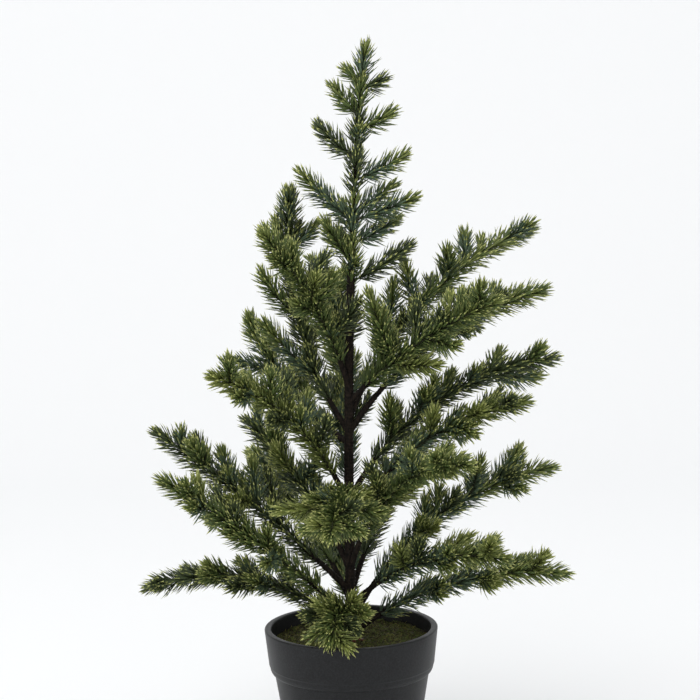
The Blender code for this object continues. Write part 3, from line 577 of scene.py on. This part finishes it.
# A row holds name, height on the trunk (mm), compass direction (degrees, 0 is +X and 90 is the
# back), length (mm), rise at the trunk and at the tip (degrees), the bare share, and its side
# twigs: place along the bough, direction and rise (degrees), length (mm).
BOUGHS = (
    ("low_left", 108, 178, 155, 44, -18, 0.24,
     ((0.46, 145, 26, 30), (0.50, 230, 4, 33), (0.62, 210, 30, 26), (0.75, 135, 4, 22))),
    ("lower_left_front", 116, 203, 179, 45, 34, 0.26,
     ((0.42, 250, 0, 30), (0.50, 205, 26, 34), (0.62, 140, 46, 39), (0.71, 120, -12, 24),
      (0.79, 235, 16, 23))),
    ("lower_left", 135, 182, 178, 46, 37, 0.26,
     ((0.38, 120, 58, 46), (0.50, 110, 66, 38), (0.54, 240, 14, 31), (0.62, 140, 64, 34),
      (0.75, 230, 52, 34))),
    ("mid_left_back", 150, 160, 131, 66, 42, 0.36,
     ((0.40, 290, 30, 38), (0.54, 320, 54, 36), (0.56, 125, 4, 29), (0.67, 130, 24, 29))),
    ("mid_left_front", 195, 216, 158, 66, 21, 0.24,
     ((0.33, 305, 56, 30), (0.46, 65, 60, 30), (0.54, 245, 12, 29), (0.62, 60, 58, 30),
      (0.71, 140, 44, 25), (0.79, 245, -2, 25))),
    ("mid_back_left", 239, 140, 126, 22, 60, 0.26,
     ((0.50, 75, 30, 30), (0.67, 195, 14, 38), (0.71, 95, 28, 21))),
    ("upper_left_back", 247, 156, 177, 53, 99, 0.20,
     ((0.25, 190, 46, 59), (0.38, 70, 26, 26), (0.50, 195, 52, 46), (0.75, 150, 66, 32),
      (0.79, 20, 30, 29))),
    ("upper_left_front", 278, 232, 147, 66, 39, 0.20,
     ((0.29, 340, 50, 37), (0.46, 230, 18, 27), (0.50, 340, 54, 30), (0.62, 25, 52, 31),
      (0.75, 240, 24, 28))),
    ("upper_right_back", 256, 32, 207, 62, 14, 0.16,
     ((0.25, 60, 66, 56), (0.46, 145, 68, 38), (0.50, 250, -2, 23), (0.58, 75, -20, 25),
      (0.62, 270, 68, 27), (0.79, 90, 48, 15))),
    ("upper_right", 246, 6, 175, 57, 13, 0.32,
     ((0.60, 305, 4, 22), (0.67, 70, -20, 27), (0.79, 65, 62, 19))),
    ("upper_right_front", 267, 332, 140, 45, 23, 0.18,
     ((0.29, 250, 76, 45), (0.33, 325, 2, 42), (0.36, 215, 62, 56), (0.50, 75, 78, 32),
      (0.58, 310, -6, 31), (0.71, 70, 62, 24), (0.79, 70, 52, 25))),
    ("mid_right", 199, 4, 183, 62, 6, 0.24,
     ((0.29, 260, 74, 35), (0.42, 295, 46, 32), (0.50, 50, 24, 26), (0.67, 60, 14, 27),
      (0.75, 20, -10, 42))),
    ("mid_right_front", 182, 344, 163, 61, 11, 0.40,
     ((0.60, 325, 12, 31), (0.66, 310, -8, 27), (0.79, 35, 30, 27))),
    ("mid_front_right", 150, 306, 174, 66, 5, 0.22,
     ((0.42, 225, 56, 34), (0.46, 340, 22, 26), (0.58, 30, 30, 45), (0.75, 330, 0, 23))),
    ("lower_right", 112, 14, 190, 63, 6, 0.28,
     ((0.42, 305, 26, 28), (0.50, 65, 58, 29), (0.67, 310, 68, 34), (0.75, 25, 44, 38),
      (0.80, 310, -4, 26))),
    ("low_right", 104, 354, 163, 39, -5, 0.22,
     ((0.40, 300, 0, 20), (0.48, 45, 4, 27), (0.62, 310, -4, 23), (0.71, 35, 16, 27))),
    ("low_right_front", 124, 326, 142, 46, -3, 0.30,
     ((0.42, 250, 50, 27), (0.54, 20, 20, 40), (0.60, 310, -10, 22), (0.68, 5, 10, 36))),
    ("mid_front", 211, 262, 102, -2, -16, 0.26,
     ((0.50, 190, -6, 46), (0.52, 332, -8, 37), (0.66, 208, -26, 30), (0.70, 310, 24, 27))),
    ("low_front", 106, 256, 76, 66, -48, 0.32,
     ((0.38, 210, 6, 36), (0.40, 300, 10, 36), (0.50, 232, 40, 20), (0.64, 215, -24, 22))),
    ("low_back", 110, 96, 140, 44, -10, 0.26,
     ((0.42, 150, 16, 36), (0.50, 40, 20, 36), (0.64, 145, 10, 30), (0.72, 50, 12, 28))),
    ("lower_back_left", 128, 126, 154, 50, 22, 0.28,
     ((0.42, 80, 30, 34), (0.54, 172, 26, 34), (0.64, 82, 24, 30), (0.74, 170, 20, 26))),
    ("lower_back_right", 132, 62, 154, 52, 22, 0.28,
     ((0.42, 105, 30, 34), (0.52, 14, 26, 34), (0.64, 104, 24, 30), (0.74, 16, 20, 26))),
    ("mid_back", 188, 92, 144, 60, 26, 0.26,
     ((0.40, 140, 40, 32), (0.50, 44, 36, 34), (0.62, 142, 34, 30), (0.72, 46, 30, 26))),
    ("upper_back", 270, 102, 112, 62, 34, 0.24,
     ((0.40, 50, 45, 30), (0.52, 152, 40, 30), (0.66, 52, 38, 26))),
)
BOUGH_THICK = 2.4 * MM             # radius at the trunk
BOUGH_END = 1.5 * MM               # radius where the foliage begins
TUFT = 7 * MM                      # the needles reach this far past the end of a stem


def heading(azimuth, rise):
    """The direction with this compass direction and rise, in degrees."""
    a, r = math.radians(azimuth), math.radians(rise)
    return Vector((math.cos(r) * math.cos(a), math.cos(r) * math.sin(a), math.sin(r)))


def limb_path(start, azimuth, length, rise, end_rise, steps=24):
    """Points of a limb whose rise changes evenly from its root to its tip."""
    points = [start.copy()]
    for i in range(steps):
        share = (i + 0.5) / steps
        points.append(points[-1] + heading(azimuth, rise + (end_rise - rise) * share) * (length / steps))
    return points


def bough_path(row):
    _, height, azimuth, length, rise, end_rise, _, _ = row
    return limb_path(trunk_point(height * MM), azimuth, length * MM - TUFT, rise, end_rise)


bough_mesh = bmesh.new()
for number, row in enumerate(BOUGHS):
    bare = row[6]
    sweep_limb(bough_mesh, part_of(bough_path(row), 0, bare, 9),
               lambda share: BOUGH_THICK + (BOUGH_END - BOUGH_THICK) * share, 10, seed=0.37 * number)
bmesh.ops.recalc_face_normals(bough_mesh, faces=bough_mesh.faces)
boughs = add_piece("boughs_wound_wire", bough_mesh, bark)
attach(boughs, "root")
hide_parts(*["bough_" + row[0] for row in BOUGHS])

# Twigs: the thin wire stems inside the foliage, from the boughs' ends to the furthest tips. They
# branch by the same rule as the masses, carried on by short seeded sprigs on alternate sides.

# A tier holds name, lowest and highest point (mm), and its twigs round the leader: height (mm),
# direction and rise (degrees), length (mm).
TIERS = (
    ("tier_1", 466, 485, ((480, 0, 20, 22), (484, 180, 40, 18), (472, 95, 40, 20))),
    ("tier_2", 440, 464, ((452, 8, 26, 32), (462, 188, 48, 31), (446, 285, 40, 16))),
    ("tier_3", 408, 438, ((419, 353, 24, 43), (433, 174, 41, 39), (424, 84, 36, 26))),
    ("tier_4", 380, 406, ((392, 356, 18, 49), (392, 187, 42, 53), (398, 24, 26, 38),
                          (386, 110, 36, 30))),
    ("tier_5", 346, 378, ((350, 10, 28, 52), (364, 202, 54, 38), (376, 28, 22, 43),
                          (370, 120, 34, 27), (358, 290, 30, 16))),
)
LEADER_TIP = 513 * MM
LEADER_TIP_SIDE = 17 * MM
STEM_THICK = 1.2 * MM
TWIG_THICK = 0.8 * MM
TWIG_DROOP = 5                     # a twig starts this much below its rise (degrees)
TWIG_LIFT = 8                      # and ends this much above it
TWIG_SWAY = 3
TWIG_BARE = 0.08                   # share of a twig without needles, from its root
SPRIG_BARE = 0.1
TIER_BARE = 0.12
STEM_START = 0.7                   # needles begin before the bough's bare share ends
SPRIGS = 6                         # short sprigs on each bough
SPRIG_START = 0.02                 # the first one stands this far past the bough's bare share
SPRIG_END = 0.92
AHEAD = 0.02                       # share of a bough over which its direction is taken
SPRIG_ANGLE = 50
SPRIG_RISE = (-5, 40)
SPRIG_LENGTH = (18, 30)            # mm
DYE_PATCH = 3.85 * MM
rng = random.Random(12)


def twig_path(root, azimuth, rise, length):
    wire = max(length - TUFT, 4 * MM)
    return limb_path(root, azimuth, wire, rise - TWIG_DROOP, rise + TWIG_LIFT, steps=8)


def grow_bough(row):
    """The stem of a bough's foliage with its side twigs and sprigs, as (path, radius, share bare)."""
    bare, rows = row[6], row[7]
    path = bough_path(row)
    grown = [(part_of(path, STEM_START * bare, 1, 25), STEM_THICK, 0.0)]
    for along, azimuth, rise, length in rows:
        azimuth += rng.uniform(-TWIG_SWAY, TWIG_SWAY)
        rise += rng.uniform(-TWIG_SWAY, TWIG_SWAY)
        twig = twig_path(point_on(path, along), azimuth, rise, length * MM)
        grown.append((twig, TWIG_THICK, TWIG_BARE))
    side = rng.choice((-1, 1))
    for i in range(SPRIGS):
        place = bare + SPRIG_START + (SPRIG_END - bare) * (i + rng.uniform(0.1, 0.8)) / SPRIGS
        root = point_on(path, place)
        ahead = point_on(path, place + AHEAD) - root
        level = math.degrees(math.atan2(ahead.y, ahead.x))
        rise = math.degrees(math.asin(max(-1, min(1, ahead.z / ahead.length)))) + rng.uniform(*SPRIG_RISE)
        length = rng.uniform(*SPRIG_LENGTH) * MM
        grown.append((twig_path(root, level + side * SPRIG_ANGLE, rise, length), TWIG_THICK, SPRIG_BARE))
        side = -side
    return grown


def grow_tier(tier):
    """The same for a tier, whose first path is the leader itself and gets no wire of its own."""
    _, low, high, rows = tier
    grown = [([trunk_point((low + (high - low) * i / 8) * MM) for i in range(9)], None, 0.0)]
    for height, azimuth, rise, length in rows:
        twig = twig_path(trunk_point(height * MM), azimuth, rise, length * MM)
        grown.append((twig, TWIG_THICK, TIER_BARE))
    return grown


masses = {}
for row in BOUGHS:
    masses[row[0]] = grow_bough(row)
for tier in TIERS:
    masses["leader_" + tier[0]] = grow_tier(tier)
tip_start = trunk_point(TRUNK_TIP)
tip_end = Vector((LEADER_TIP_SIDE, 0, LEADER_TIP - TUFT))
masses["leader_tip"] = [(part_of([tip_start, tip_end], 0, 1, 9), TWIG_THICK, 0.0)]

twig_mesh = bmesh.new()
for grown in masses.values():
    for path, radius, _ in grown:
        if radius:
            sweep_limb(twig_mesh, path, lambda share: radius * (1.15 - 0.5 * share), 6, 3 * MM, False)
bmesh.ops.recalc_face_normals(twig_mesh, faces=twig_mesh.faces)


def twig_material():
    # plastic-coated wire: dark olive brown and dull, darker where dye gathers every few millimetres
    mat, tree, shader = new_material("twig_coated_wire", "#2f3320", 0.7)
    place = add_node(tree, "ShaderNodeTexCoord").outputs["Object"]
    dye = add_node(tree, "ShaderNodeTexNoise", {"Vector": place, "Scale": 1 / DYE_PATCH, "Detail": 3.0})
    ramp = add_node(tree, "ShaderNodeValToRGB", {"Fac": dye.outputs["Fac"]})
    ramp.color_ramp.elements[0].color = linear("#1f2016")
    ramp.color_ramp.elements[1].color = linear("#444a2b")
    tree.links.new(ramp.outputs["Color"], shader.inputs["Base Color"])
    return mat


twigs = add_piece("twigs_wire", twig_mesh, twig_material())
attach(twigs, "root")

# Needles: moulded polyethylene, flat, blunt and bent a little forward, set round every twig in a
# spiral and closing to a tuft at its end. The dye differs from spray to spray, from dark green to
# olive. Sprays at the back get the darker and bluish tones more often, which is painted shade, and
# those at the front get lighter ones, which is painted light. Outer ends are often a tone lighter,
# where the painted bluish shade turns green, and tips are paler.
NEEDLE_LENGTH = 14.5 * MM
LEADER_NEEDLE = 14 * MM
LENGTH_SHARES = (0.82, 1.12)       # of those lengths, drawn for each needle
NEEDLES_PER_MM = 3.8
NEEDLE_HALF = 0.78 * MM            # half the width
WIDTH_SHARES = (0.85, 1.15)
NEEDLE_THIN = 0.34 * MM            # half the thickness
NEEDLE_ANGLE = 53                  # degrees between a needle and its twig
TIP_ANGLE = 20                     # the same at the twig's end
LEAN_STRAY = 6                     # degrees
SPIRAL_TURN = 2.39996              # radians from one needle to the next
SPIRAL_STRAY = 0.25
BEND_SHARES = (0.05, 0.30)         # how far a needle curves forward
CLOSE_LENGTH = 15 * MM             # the needles close in over the last stretch of a twig
CLOSE_POWER = 1.3
CLOSE_SHORT = 0.28                 # and grow shorter there by this share
FLAT_STRAY = 0.25
OUTER_START = (0.55, 0.8)          # the outer end of a spray begins at this share of its length
LIGHTER_OUTER = 0.6                      # share of the needles there that are one tone lighter
PALE_TIPS = 0.30                   # share of the needles with a pale tip
PALE_OUTER = 0.35                  # and how many more at the outer end
MOSS_ROOM = 1 * MM                 # no needle dips nearer to the moss
# the bluish tone is painted shade, a bluer green for sprays that lie in shadow
NEEDLE_TONES = (("deep", "#414d2f"), ("bluish_shade", "#51634c"), ("green", "#566636"), ("olive", "#6c773d"),
                ("light_olive", "#848d4a"), ("dull_tip", "#7f8647"), ("pale_tip", "#b0b46c"))
DEEP, BLUISH_SHADE, GREEN, _, _, DULL_TIP, PALE_TIP = range(len(NEEDLE_TONES))
FRONT_LIT_TONES = (0.12, 0.10, 0.50, 0.28)   # share of the sprays that are deep, bluish shade, green, olive: lighter at the front, painted light
# the same at the back, darker and bluer: painted shade
BACK_SHADE_TONES = (0.30, 0.38, 0.27, 0.05)
LOWER_TOP = 140                    # a bough that leaves the trunk below this (mm) is a lower one
MIDDLE_TOP = 230
draw = np.random.default_rng(8)


def needle_mats():
    # dyed polyethylene: a soft satin that takes small dull highlights
    mats = []
    for name, colour in NEEDLE_TONES:
        mat, _, shader = new_material("needle_" + name, colour, 0.48)
        shader.inputs["IOR"].default_value = 1.5
        shader.inputs["Specular IOR Level"].default_value = 0.4
        mats.append(mat)
    return mats


def clothe(path, bare, needle, at_front):
    """The needles of one spray: arrays of root, way, bend, flat, length and the two tones."""
    length = path_length(path) * (1 - bare)
    count = max(6, int(length / MM * NEEDLES_PER_MM))
    points = np.array(path)
    axes = np.array([[list(v) for v in frame_at] for frame_at in frames(path)])
    share = bare + (1 - bare) * (np.arange(count) + draw.uniform(0, 1, count)) / count
    place = share * (len(path) - 1)
    low = np.minimum(place.astype(int), len(path) - 2)
    mix = (place - low)[:, None]
    roots = points[low] * (1 - mix) + points[low + 1] * mix
    along, side, up = (axes[low, k] * (1 - mix) + axes[low + 1, k] * mix for k in range(3))
    angle = np.arange(count) * SPIRAL_TURN + draw.normal(0, SPIRAL_STRAY, count)
    out = unit(np.cos(angle)[:, None] * side + np.sin(angle)[:, None] * up)
    left = (1 - share) / (1 - bare) * length
    close = np.clip(1 - left / CLOSE_LENGTH, 0, 1) ** CLOSE_POWER
    lean = NEEDLE_ANGLE + (TIP_ANGLE - NEEDLE_ANGLE) * close + draw.normal(0, LEAN_STRAY, count)
    lean = np.radians(lean)
    ways = unit(np.cos(lean)[:, None] * along + np.sin(lean)[:, None] * out)
    bends = (along - ways * (along * ways).sum(1)[:, None]) * draw.uniform(*BEND_SHARES, count)[:, None]
    flats = unit(np.cross(ways, along) + FLAT_STRAY * draw.normal(size=(count, 3)))
    flats = unit(flats - ways * (flats * ways).sum(1)[:, None])
    reach = needle * draw.uniform(*LENGTH_SHARES, count) * (1 - CLOSE_SHORT * close)
    # sprays at the back draw darker, bluish tones more often, which is painted shade; sprays at the front
    # draw lighter ones, which is painted light
    tone = np.full(count, draw.choice(4, p=FRONT_LIT_TONES if at_front else BACK_SHADE_TONES))
    outer = (share > draw.uniform(*OUTER_START)) & (tone > DEEP)
    # at the outer ends the painted bluish shade turns green, and then many a green needle turns olive and
    # many an olive one light olive
    tone[outer & (tone == BLUISH_SHADE)] = GREEN
    tone[outer & (tone >= GREEN) & (draw.uniform(size=count) < LIGHTER_OUTER)] += 1
    tips = np.where(draw.uniform(size=count) < (PALE_TIPS + PALE_OUTER * outer), PALE_TIP, DULL_TIP)
    return roots, ways, bends, flats, reach, tone, tips


def mass_group(name):
    """The part of the crown that a mass's needles are joined with."""
    if name.startswith("leader"):
        return "leader"
    row = next(row for row in BOUGHS if row[0] == name)
    level = "lower" if row[1] < LOWER_TOP else "middle" if row[1] < MIDDLE_TOP else "upper"
    side = "back" if 40 < row[2] < 145 else "left" if 90 < row[2] < 270 else "right"
    return level + "_" + side


groups = {}
for name in masses:
    groups.setdefault(mass_group(name), []).append(name)
mats = needle_mats()
for group, names in groups.items():
    needle = LEADER_NEEDLE if group == "leader" else NEEDLE_LENGTH
    rows = []
    for name in names:
        for path, _, bare in masses[name]:
            # whether a spray ends at the front, which gives it lighter tones and the back darker ones:
            # painted light and painted shade
            at_front = path[-1].y < -20 * MM
            rows.append(clothe(path, bare, needle, at_front))
    roots, ways, bends, flats, reach, tone, tips = (np.concatenate(column) for column in zip(*rows))
    wide = NEEDLE_HALF * draw.uniform(*WIDTH_SHARES, len(roots))
    clear = (roots + ways * reach[:, None])[:, 2] > MOSS_LEVEL + MOSS_ROOM
    needles = add_slivers("needles_" + group, roots[clear], ways[clear], bends[clear], flats[clear],
                          reach[clear], wide[clear], NEEDLE_THIN, tone[clear], tips[clear], mats)
    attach(needles, "root")
    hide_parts(*["foliage_" + name for name in names])
